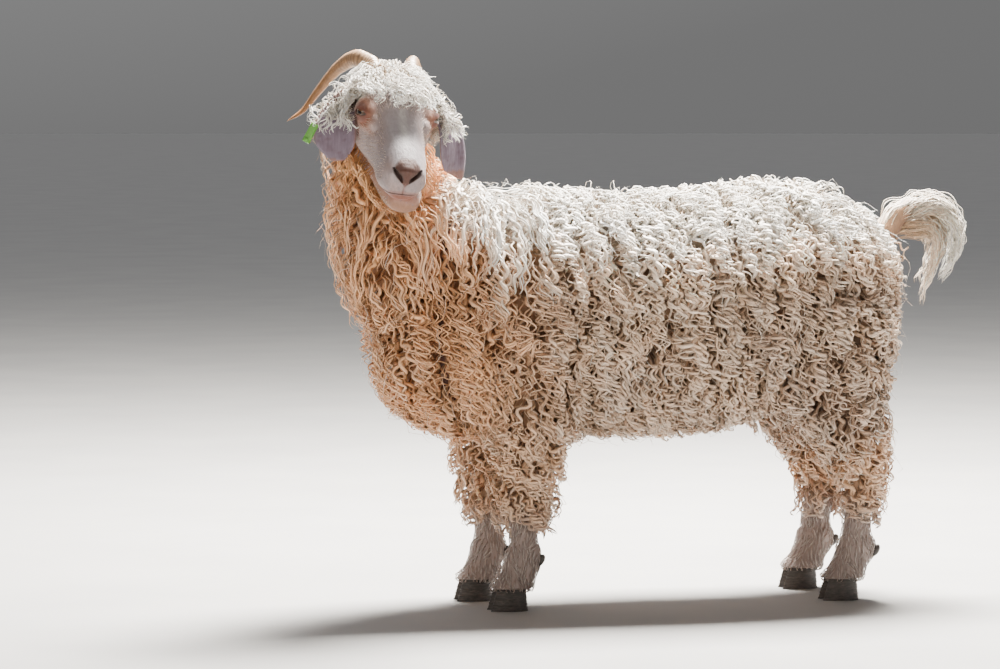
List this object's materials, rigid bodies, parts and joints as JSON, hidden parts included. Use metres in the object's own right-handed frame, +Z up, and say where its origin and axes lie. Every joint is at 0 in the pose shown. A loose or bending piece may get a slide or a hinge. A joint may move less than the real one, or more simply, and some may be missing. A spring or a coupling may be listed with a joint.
{
  "type": "angora goat",
  "caption": "Adult angora doe standing with the head turned to its left, in long curly fleece, with drooping ears, back-swept horns and an ear tag.",
  "frame": {"origin": "under the middle of the bounding box, on the floor that the feet stand on", "axes": "+Z up; the body faces -X, so its left side is towards -Y"},
  "size_m": [1.155, 0.4248, 0.924],
  "materials": {
    "wool": "long curly mohair, soft lustre",
    "face_hair": "short hair over skin",
    "leg_hair": "short hair and wool",
    "ear_skin": "skin with fine short hair",
    "eye": "wet, glossy",
    "horn": "horn, satin",
    "hoof": "hoof horn, satin",
    "tag_plastic": "moulded plastic"
  },
  "bodies": {
    "root": {"torso": "wool", "neck": "wool", "tail": "wool", "head": "face_hair", "leg_fore_left": "leg_hair", "leg_fore_right": "leg_hair", "leg_hind_left": "leg_hair", "leg_hind_right": "leg_hair", "ear_left": "ear_skin", "eye_left": "eye", "horn_left": "horn", "ear_right": "ear_skin", "eye_right": "eye", "horn_right": "horn", "ear_tag": "tag_plastic", "hoof_fore_left_inner": "hoof", "hoof_fore_left_outer": "hoof", "hoof_fore_right_inner": "hoof", "hoof_fore_right_outer": "hoof", "hoof_hind_left_inner": "hoof", "hoof_hind_left_outer": "hoof", "hoof_hind_right_inner": "hoof", "hoof_hind_right_outer": "hoof", "dewclaw_fore_left_inner": "hoof", "dewclaw_fore_left_outer": "hoof", "dewclaw_fore_right_inner": "hoof", "dewclaw_fore_right_outer": "hoof", "dewclaw_hind_left_inner": "hoof", "dewclaw_hind_left_outer": "hoof", "dewclaw_hind_right_inner": "hoof", "dewclaw_hind_right_outer": "hoof"}
  },
  "joints": []
}
